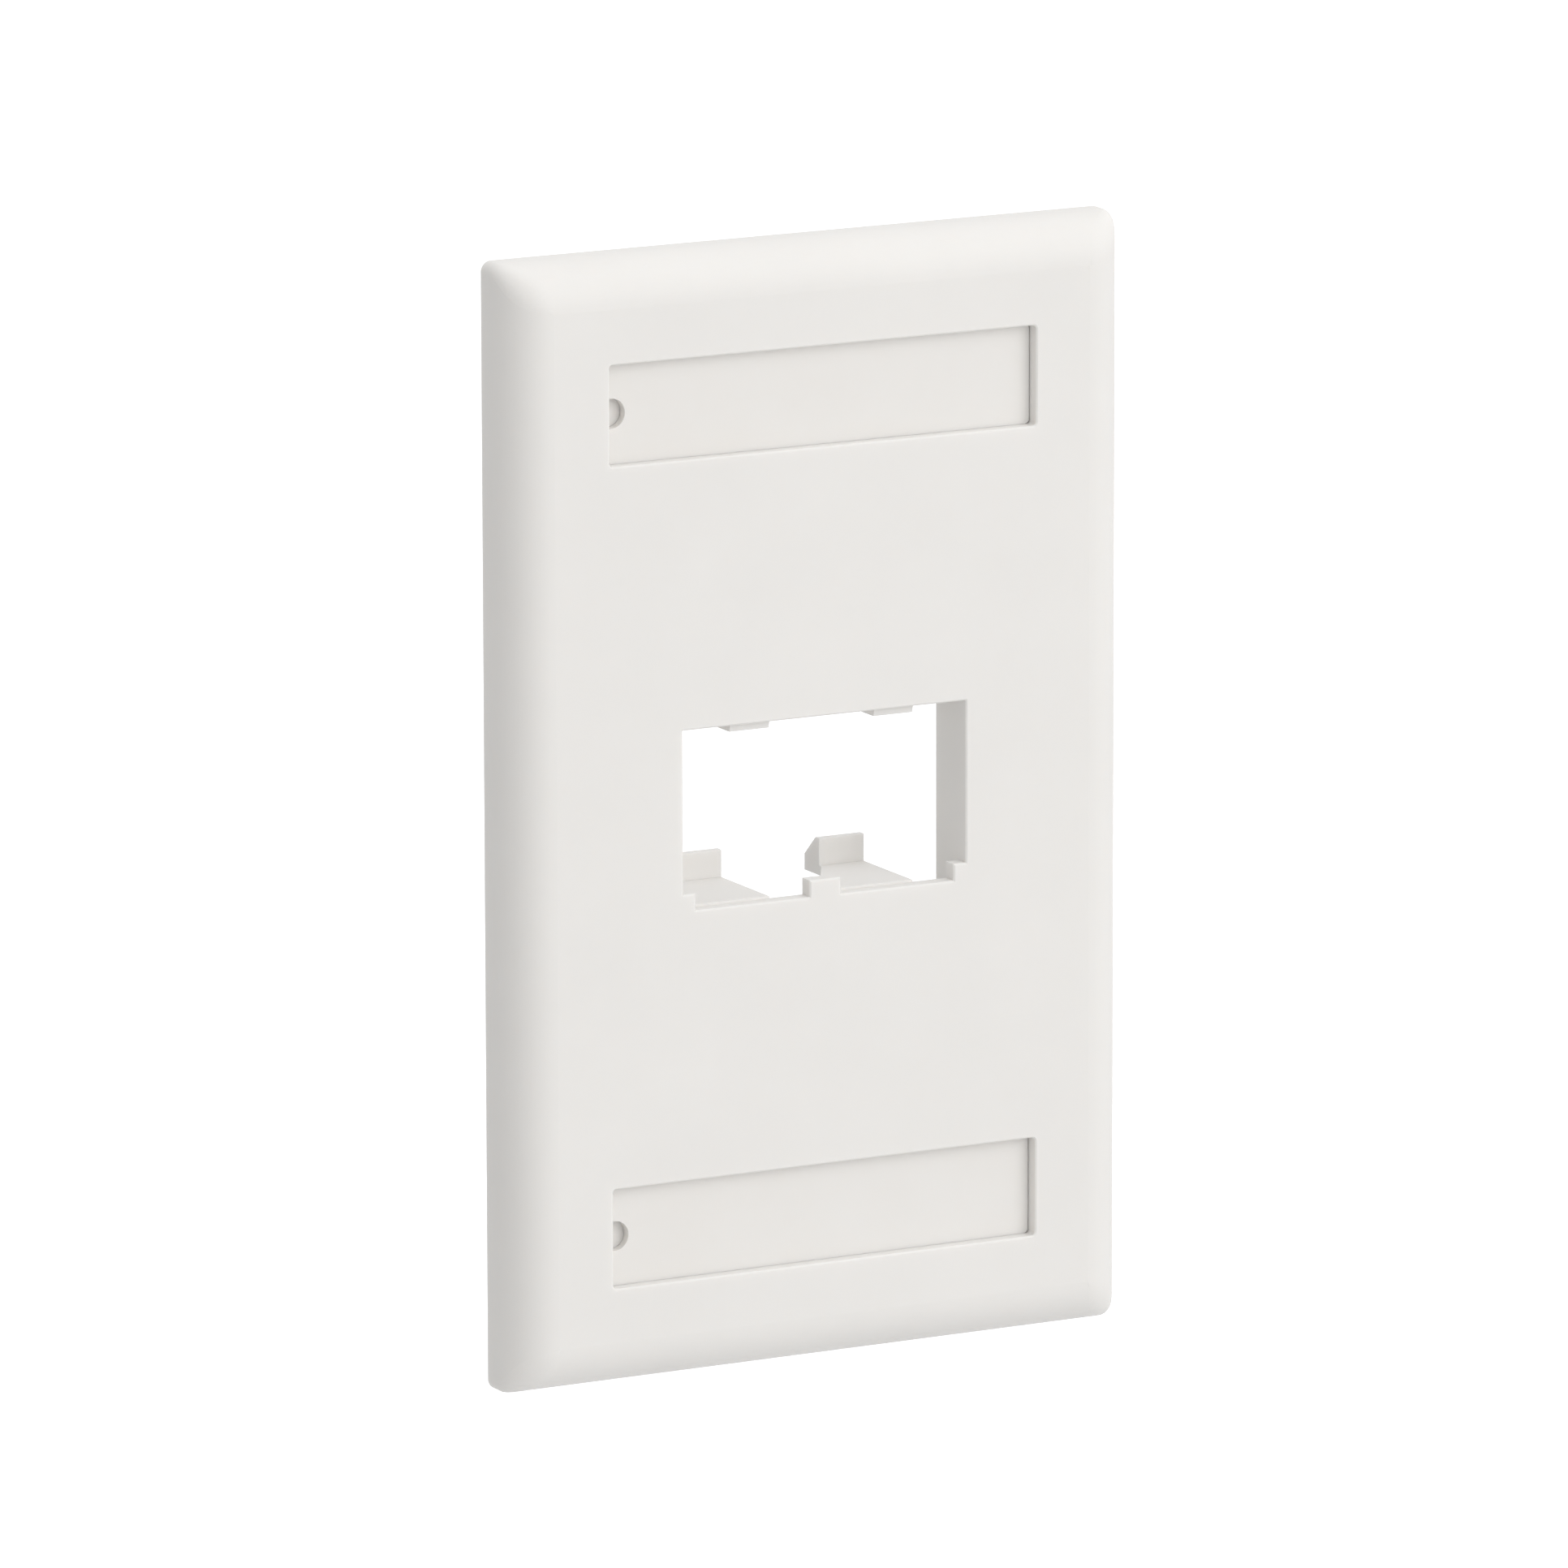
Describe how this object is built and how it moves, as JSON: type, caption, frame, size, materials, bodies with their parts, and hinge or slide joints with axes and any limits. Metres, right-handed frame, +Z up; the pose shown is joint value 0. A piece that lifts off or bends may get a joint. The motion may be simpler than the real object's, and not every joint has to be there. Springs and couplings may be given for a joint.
{
  "type": "keystone faceplate",
  "caption": "Single-gang wall plate with a shared opening for snap-in jack modules, latch brackets behind it, and label covers over the mounting screws.",
  "frame": {"origin": "middle of the plate on the wall plane, which is the back rim of the plate", "axes": "+X to the right seen from the front, +Z up, +Y into the wall; the front face looks along -Y"},
  "size_m": [0.0698, 0.0225, 0.1142],
  "materials": {
    "plate_plastic": "satin",
    "cover_plastic": "satin",
    "screw_steel": "satin"
  },
  "bodies": {
    "plate": {"faceplate": "plate_plastic", "upper_mounting_screw": "screw_steel", "lower_mounting_screw": "screw_steel"},
    "upper_cover": {"upper_label_cover": "cover_plastic"},
    "lower_cover": {"lower_label_cover": "cover_plastic"}
  },
  "joints": [
    {"name": "upper_cover_swing", "type": "hinge", "parent": "plate", "child": "upper_cover", "pos_m": [0.02379, -0.0048, 0.04167], "axis": [0, 0, 1], "range_deg": [0, 25]},
    {"name": "lower_cover_swing", "type": "hinge", "parent": "plate", "child": "lower_cover", "pos_m": [0.02379, -0.0048, -0.04167], "axis": [0, 0, 1], "range_deg": [0, 25]}
  ]
}
